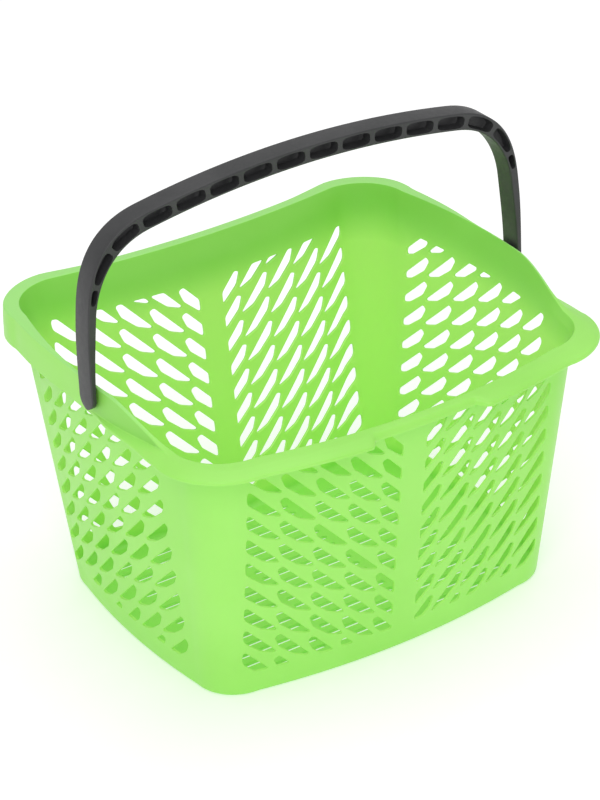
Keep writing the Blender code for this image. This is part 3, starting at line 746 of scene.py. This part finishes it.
def add_rim(solid, top_out, top_in):
    crest = outline(CREST, 0.0)
    columns = rim_columns(solid, crest, top_out, top_in)
    length = len(columns[0])
    rings = [top_out]
    for k in range(1, length - 1):
        from_end, ring = length - k, []
        for column, (x, y) in zip(columns, crest):
            point = column[k]
            # flare rows get painted shade and painted light by height; the rows outside get the
            # painted highlight and the recess's painted shade
            if from_end <= FLARE_ROWS:
                ring.append(solid.add(point, inner_painted_shade(point.z), painted_inside_light(point.z)))
            else:
                ring.append(solid.add(point, outer_painted_shading(from_end, x, y)))
        rings.append(ring)
    rings.append(top_in)
    for low, high in zip(rings, rings[1:]):
        solid.bridge(low, high)


def add_corners(solid, wall_out, wall_in):
    """The plain wall between the perforated panels."""
    skip = set()
    for start, n in panel_slices():
        skip |= set(range(start, start + n - 1))
    for a, b in zip(wall_out, wall_out[1:]):
        solid.bridge(a, b, skip)
    for a, b in zip(wall_in, wall_in[1:]):
        solid.bridge(b, a, skip)


def floor_place(p, t):
    return (p[0], p[1], FLOOR_T - t)


def build_tub():
    solid = Solid()
    heights = [float(v) for v in np.linspace(PANEL_LOW, PANEL_HIGH, LEVELS)]
    wall_out = [add_ring(solid, z / RIM_Z, 0.0, z) for z in heights]
    # the inner skin's rings carry painted shade and painted light by height
    wall_in = [add_ring(solid, z / RIM_Z, WALL_T, z, inner_painted_shade(z), painted_inside_light(z))
               for z in heights]
    under = add_heel(solid, wall_out[0])
    top = add_fillet(solid, wall_in[0])
    add_rim(solid, wall_out[-1], wall_in[-1])
    add_corners(solid, wall_out, wall_in)
    add_panels(solid, wall_out, wall_in, heights)
    border = outline(0.0, FLOOR_BORDER)
    perforate(solid, (top, under), border, floor_slots(), floor_place, FLOOR_T)
    return solid.make("basket_tub")


# ---------------------------------------------------------------- handle

def bezier(a, b, c, t):
    u = 1.0 - t
    return tuple(u * u * p + 2.0 * u * t * q + t * t * r for p, q, r in zip(a, b, c))


def handle_half():
    line = []
    for rise in LEG_RISES:
        t = rise / (LEG_TOP_Z - LEG_FOOT_Z)
        line.append((lerp(LEG_FOOT_X, LEG_TOP_X, t ** LEG_BEND), LEG_FOOT_Z + rise))
    top, end = (LEG_TOP_X, LEG_TOP_Z), (CROWN_END_X, CROWN_END_Z)
    for k in range(25):
        line.append(bezier(top, (CORNER_X, CORNER_Z), end, k / 24.0))
    for k in range(1, 19):
        x = CROWN_END_X * (1.0 - k / 18.0)
        rise = (CROWN_Z - CROWN_END_Z) * (1.0 - (x / CROWN_END_X) ** 2)
        line.append((x, CROWN_END_Z + rise))
    return line


def thickness(z):
    if z > LEG_TOP_Z:
        return lerp(LEG_TOP_T, TOP_T, smooth((z - LEG_TOP_Z) / (CROWN_END_Z - LEG_TOP_Z)))
    return lerp(LEG_FOOT_T, LEG_TOP_T, smooth((z - PIVOT_Z) / (LEG_TOP_Z - PIVOT_Z)))


def half_width(z):
    up = z - LEG_FOOT_Z
    if up >= FOOT_ROUND:
        return HANDLE_HALF_W
    chord = math.sqrt(max(FOOT_ROUND ** 2 - (FOOT_ROUND - up) ** 2, 0.0))
    return max(chord, FOOT_TIP_HALF_W)


def pocket_outlines(line):
    dense = []
    for a, b in zip(line, line[1:]):
        dense += [(lerp(a[0], b[0], k / 10.0), lerp(a[1], b[1], k / 10.0)) for k in range(10)]
    dense = [p for p in dense if p[1] > POCKET_LOW_Z]
    steps = [0.0]
    for a, b in zip(dense, dense[1:]):
        steps.append(steps[-1] + math.dist(a, b))
    xs, zs = [p[0] for p in dense], [p[1] for p in dense]
    pitch = steps[-1] / (POCKETS - 1)

    def at(s):
        return Vector((float(np.interp(s, steps, xs)), float(np.interp(s, steps, zs))))

    pockets = []
    for n in range(POCKETS):
        start = max(pitch * (n - 0.5) + POCKET_RIB / 2.0, 0.0)
        end = min(pitch * (n + 0.5) - POCKET_RIB / 2.0, steps[-1])
        mid, half = (start + end) / 2.0, (end - start) / 2.0
        ring = []
        for k in range(POCKET_SIDES):
            a = 2.0 * math.pi * k / POCKET_SIDES
            u = math.copysign(abs(math.cos(a)) ** POCKET_SQUARENESS, math.cos(a))
            v = math.copysign(abs(math.sin(a)) ** POCKET_SQUARENESS, math.sin(a))
            p = at(mid + half * u)
            run = (at(mid + half * u + 0.8) - at(mid + half * u - 0.8)).normalized()
            reach = (thickness(p.y) / 2.0 - POCKET_WALL) * v
            ring.append((p.x - run.y * reach, p.y + run.x * reach))
        pockets.append(ring)
    return pockets


def edge_loop(line, inset):
    """The bail's outline in its own plane, moved inward by inset."""
    outer, inner = [], []
    for i, (x, z) in enumerate(line):
        a, b = line[max(i - 1, 0)], line[min(i + 1, len(line) - 1)]
        run = Vector((b[0] - a[0], b[1] - a[1])).normalized()
        reach = thickness(z) / 2.0 - inset
        lift = inset * max(1.0 - (z - LEG_FOOT_Z) / FOOT_ROUND, 0.0)
        outer.append((x - run.y * reach, z + run.x * reach + lift))
        inner.append((x + run.y * reach, z - run.x * reach + lift))
    return outer + inner[::-1]


def add_pocket(solid, pocket, rim, side):
    """Tapered walls and the rounded bottom of one pocket."""
    centre = np.mean(np.array(pocket), 0)
    depth = PIVOT_Y + side * (HANDLE_HALF_W - POCKET_DEPTH)
    rings = [rim]
    for share, y in ((POCKET_TAPER, depth + side * POCKET_FLOOR_R), (POCKET_FLOOR_SHARE, depth)):
        shrunk = [centre + (np.array(p) - centre) * share for p in pocket]
        rings.append([solid.add((p[0], y, p[1])) for p in shrunk])
    for a, b in zip(rings, rings[1:]):
        for k in range(len(pocket)):
            j = (k + 1) % len(pocket)
            quad = (a[j], a[k], b[k], b[j])
            solid.faces.append(quad if side < 0 else quad[::-1])
    low = rings[-1]
    solid.faces.append(tuple(low[::-1]) if side < 0 else tuple(low))


def add_side_face(solid, line, widths, pockets, tris, side):
    """One side face with its rounded border and pockets; returns the border's rings."""
    rings = []
    for k in range(ARC_POINTS):
        a = math.radians(90.0 * k / (ARC_POINTS - 1.0))
        back = HANDLE_EDGE_R * (1.0 - math.sin(a))
        loop = edge_loop(line, HANDLE_EDGE_R * (1.0 - math.cos(a)))
        rings.append([solid.add((p[0], PIVOT_Y + side * (w - back), p[1]))
                      for p, w in zip(loop, widths)])
    face = list(rings[-1])
    at = len(face)
    for pocket in pockets:
        face += [solid.add((p[0], PIVOT_Y + side * HANDLE_HALF_W, p[1])) for p in pocket]
    for a, b, c in tris:
        tri = (face[a], face[b], face[c])
        solid.faces.append(tri if side < 0 else tri[::-1])
    for pocket in pockets:
        add_pocket(solid, pocket, face[at:at + len(pocket)], side)
        at += len(pocket)
    return rings


def build_handle():
    half = handle_half()
    line = [(-x, z) for x, z in half[:-1]] + half[::-1]
    widths = [half_width(z) for _, z in line]
    widths = widths + widths[::-1]
    solid = Solid()
    pockets = pocket_outlines(line)
    tris = triangulate(edge_loop(line, HANDLE_EDGE_R), pockets)
    near = add_side_face(solid, line, widths, pockets, tris, -1.0)
    far = add_side_face(solid, line, widths, pockets, tris, 1.0)
    order = near[::-1] + far
    for a, b in zip(order, order[1:]):
        for i in range(len(a)):
            j = (i + 1) % len(a)
            solid.faces.append((a[j], a[i], b[i], b[j]))
    return solid.make("handle_bail", 40.0)


def build_pin(name, side):
    solid = Solid()
    rings = []
    low, high = sorted((side * PIN_INNER_X, side * PIN_OUTER_X))
    tip = PIN_R - PIN_CHAMFER
    for x, r in ((low, tip), (low + PIN_CHAMFER, PIN_R), (high - PIN_CHAMFER, PIN_R), (high, tip)):
        ring = []
        for k in range(PIN_SIDES):
            a = 2 * math.pi * k / PIN_SIDES
            ring.append(solid.add((x, PIVOT_Y + r * math.cos(a), PIVOT_Z + r * math.sin(a))))
        rings.append(ring)
    for a, b in zip(rings, rings[1:]):
        solid.bridge(a, b)
    solid.faces.append(tuple(rings[0][::-1]))
    solid.faces.append(tuple(rings[-1]))
    return solid.make(name)


# ---------------------------------------------------------------- materials

def node(tree, kind, **values):
    n = tree.nodes.new(kind)
    for key, value in values.items():
        if hasattr(n, key):
            setattr(n, key, value)
        else:
            n.inputs[key].default_value = value
    return n


def object_noise(tree, coords, scale, detail, rough=0.5):
    n = node(tree, "ShaderNodeTexNoise")
    n.inputs["Scale"].default_value = scale
    n.inputs["Detail"].default_value = detail
    n.inputs["Roughness"].default_value = rough
    tree.links.new(coords.outputs["Object"], n.inputs["Vector"])
    return n


def ramp(tree, source, low, high, out_low, out_high):
    n = node(tree, "ShaderNodeMapRange")
    n.inputs["From Min"].default_value = low
    n.inputs["From Max"].default_value = high
    n.inputs["To Min"].default_value = out_low
    n.inputs["To Max"].default_value = out_high
    tree.links.new(source, n.inputs["Value"])
    return n.outputs["Result"]


def mix_colour(tree, factor, a, b, blend="MIX"):
    n = node(tree, "ShaderNodeMix", data_type="RGBA", blend_type=blend)
    for socket, value in ((n.inputs[0], factor), (n.inputs[6], a), (n.inputs[7], b)):
        if isinstance(value, bpy.types.NodeSocket):
            tree.links.new(value, socket)
        else:
            socket.default_value = value
    return n.outputs[2]


def moulded_green():
    """Translucent light green polypropylene with a fine moulded grain and faint flow marks, plus
    painted light low inside, painted shade under the rim and on the recess faces, and a painted
    highlight on the rim's top band.
    """
    mat = bpy.data.materials.new("moulded_green")
    mat.use_nodes = True
    tree = mat.node_tree
    shader = tree.nodes["Principled BSDF"]
    coords = node(tree, "ShaderNodeTexCoord")
    broad = object_noise(tree, coords, 9.0, 2.0)
    flow = object_noise(tree, coords, 60.0, 3.0)
    grain = object_noise(tree, coords, 2600.0, 2.0)
    tone = node(tree, "ShaderNodeAttribute", attribute_name="rim_painted_shading")
    painted_light = node(tree, "ShaderNodeAttribute", attribute_name="painted_inside_light")
    base = mix_colour(tree, ramp(tree, broad.outputs["Fac"], 0.3, 0.7, 0.0, 1.0),
                      (0.330, 0.790, 0.120, 1.0), (0.375, 0.845, 0.150, 1.0))
    base = mix_colour(tree, ramp(tree, flow.outputs["Fac"], 0.35, 0.75, 0.0, 0.10),
                      base, (0.45, 0.90, 0.22, 1.0))
    # painted light: brighter green on the lower inside walls
    base = mix_colour(tree, ramp(tree, painted_light.outputs["Fac"], 0.0, 1.0, 0.0, 1.0),
                      base, (0.54, 0.95, 0.205, 1.0))
    # painted shade: darker green under the rim inside and on the recess face above the ledge
    base = mix_colour(tree, ramp(tree, tone.outputs["Fac"], 0.0, 1.0, 0.0, 0.5),
                      base, (0.20, 0.60, 0.06, 1.0))
    # painted highlight: paler green on the rim's top band, where the shading value is negative
    base = mix_colour(tree, ramp(tree, tone.outputs["Fac"], 0.0, -1.0, 0.0, 0.6),
                      base, (0.38, 0.80, 0.26, 1.0))
    tree.links.new(base, shader.inputs["Base Color"])
    rough = ramp(tree, flow.outputs["Fac"], 0.3, 0.7, 0.36, 0.46)
    tree.links.new(rough, shader.inputs["Roughness"])
    shader.inputs["IOR"].default_value = 1.49
    shader.inputs["Specular IOR Level"].default_value = 0.4
    shader.inputs["Subsurface Weight"].default_value = 0.12
    shader.inputs["Subsurface Radius"].default_value = (0.6, 1.0, 0.3)
    shader.inputs["Subsurface Scale"].default_value = 0.003
    bump = node(tree, "ShaderNodeBump")
    bump.inputs["Strength"].default_value = 0.08
    bump.inputs["Distance"].default_value = 0.0002
    tree.links.new(grain.outputs["Fac"], bump.inputs["Height"])
    tree.links.new(bump.outputs["Normal"], shader.inputs["Normal"])
    return mat


def moulded_charcoal():
    """Charcoal polypropylene with a satin grain, faint scuffs and lighter rubbed patches."""
    mat = bpy.data.materials.new("moulded_charcoal")
    mat.use_nodes = True
    tree = mat.node_tree
    shader = tree.nodes["Principled BSDF"]
    coords = node(tree, "ShaderNodeTexCoord")
    broad = object_noise(tree, coords, 30.0, 3.0)
    scuff = object_noise(tree, coords, 220.0, 4.0, 0.65)
    grain = object_noise(tree, coords, 3200.0, 2.0)
    base = mix_colour(tree, ramp(tree, broad.outputs["Fac"], 0.35, 0.65, 0.0, 1.0),
                      (0.030, 0.031, 0.032, 1.0), (0.042, 0.042, 0.044, 1.0))
    base = mix_colour(tree, ramp(tree, scuff.outputs["Fac"], 0.60, 0.80, 0.0, 0.25),
                      base, (0.085, 0.085, 0.088, 1.0))
    tree.links.new(base, shader.inputs["Base Color"])
    rough = ramp(tree, scuff.outputs["Fac"], 0.3, 0.7, 0.40, 0.52)
    tree.links.new(rough, shader.inputs["Roughness"])
    shader.inputs["IOR"].default_value = 1.49
    bump = node(tree, "ShaderNodeBump")
    bump.inputs["Strength"].default_value = 0.12
    bump.inputs["Distance"].default_value = 0.0002
    tree.links.new(grain.outputs["Fac"], bump.inputs["Height"])
    tree.links.new(bump.outputs["Normal"], shader.inputs["Normal"])
    return mat


def floor_material():
    mat = bpy.data.materials.new("pale_floor")
    mat.use_nodes = True
    tree = mat.node_tree
    shader = tree.nodes["Principled BSDF"]
    coords = node(tree, "ShaderNodeTexCoord")
    cloud = object_noise(tree, coords, 3.0, 2.0)
    base = mix_colour(tree, ramp(tree, cloud.outputs["Fac"], 0.3, 0.7, 0.0, 1.0),
                      (0.90, 0.90, 0.90, 1.0), (0.92, 0.92, 0.92, 1.0))
    tree.links.new(base, shader.inputs["Base Color"])
    tree.links.new(base, shader.inputs["Emission Color"])
    shader.inputs["Emission Strength"].default_value = 0.28
    shader.inputs["Roughness"].default_value = 0.9
    shader.inputs["Specular IOR Level"].default_value = 0.1
    return mat


# ---------------------------------------------------------------- stage

CAMERA_AT = Vector((-1.2248, -1.9859, 1.4949))
CAMERA_TO = Vector((0.0585, 0.0935, 0.1096))
CAMERA_ROLL = -0.0473
CAMERA_LENS = 141.64


def add_camera():
    cam = bpy.data.objects.new("camera", bpy.data.cameras.new("camera"))
    bpy.context.scene.collection.objects.link(cam)
    cam.data.lens = CAMERA_LENS
    cam.data.sensor_width = 36.0
    cam.data.clip_end = 50.0
    ahead = (CAMERA_TO - CAMERA_AT).normalized()
    right0 = ahead.cross(Vector((0.0, 0.0, 1.0))).normalized()
    up0 = right0.cross(ahead)
    c, s = math.cos(CAMERA_ROLL), math.sin(CAMERA_ROLL)
    right, up = right0 * c + up0 * s, up0 * c - right0 * s
    turn = Matrix((right, up, -ahead)).transposed().to_4x4()
    cam.matrix_world = Matrix.Translation(CAMERA_AT) @ turn
    bpy.context.scene.camera = cam


def add_area(name, at, to, size, power, colour=(1.0, 1.0, 1.0)):
    data = bpy.data.lights.new(name, "AREA")
    data.shape = "SQUARE"
    data.size = size
    data.energy = power
    data.color = colour
    lamp = bpy.data.objects.new(name, data)
    bpy.context.scene.collection.objects.link(lamp)
    lamp.location = at
    lamp.rotation_euler = (Vector(to) - Vector(at)).to_track_quat("-Z", "Y").to_euler()


def add_stage():
    mesh = bpy.data.meshes.new("floor")
    half = 6.0
    mesh.from_pydata([(-half, -half, 0), (half, -half, 0), (half, half, 0), (-half, half, 0)], [],
                     [(0, 1, 2, 3)])
    ground = bpy.data.objects.new("studio_floor", mesh)
    ground.data.materials.append(floor_material())
    bpy.context.scene.collection.objects.link(ground)
    ground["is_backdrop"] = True
    world = bpy.data.worlds.new("studio")
    world.use_nodes = True
    back = world.node_tree.nodes["Background"]
    back.inputs["Color"].default_value = (1.0, 1.0, 1.0, 1.0)
    back.inputs["Strength"].default_value = 0.62
    bpy.context.scene.world = world
    add_area("key", (-1.6, -2.2, 2.6), (0.0, 0.0, 0.15), 1.8, 34.0)
    add_area("top", (0.4, 0.3, 3.0), (0.0, 0.0, 0.1), 2.4, 22.0)
    bpy.context.scene.view_settings.view_transform = "Standard"
    bpy.context.scene.view_settings.look = "None"


def dress(obj, material, body, node_name):
    obj.data.materials.clear()
    obj.data.materials.append(material)
    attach(obj, body)
    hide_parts(node_name)


def main():
    green, charcoal = moulded_green(), moulded_charcoal()
    dress(build_tub(), green, "basket", "basket_body")
    dress(build_handle(), charcoal, "handle", "carry_handle")
    dress(build_pin("pin_left", -1.0), green, "basket", "pivot_pin_left")
    dress(build_pin("pin_right", 1.0), green, "basket", "pivot_pin_right")
    add_stage()
    add_camera()


def plain(box):
    return [[float(v) for v in corner] for corner in box]


main()
{"cad": plain(CAD_BOX), "visual": plain(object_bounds())}
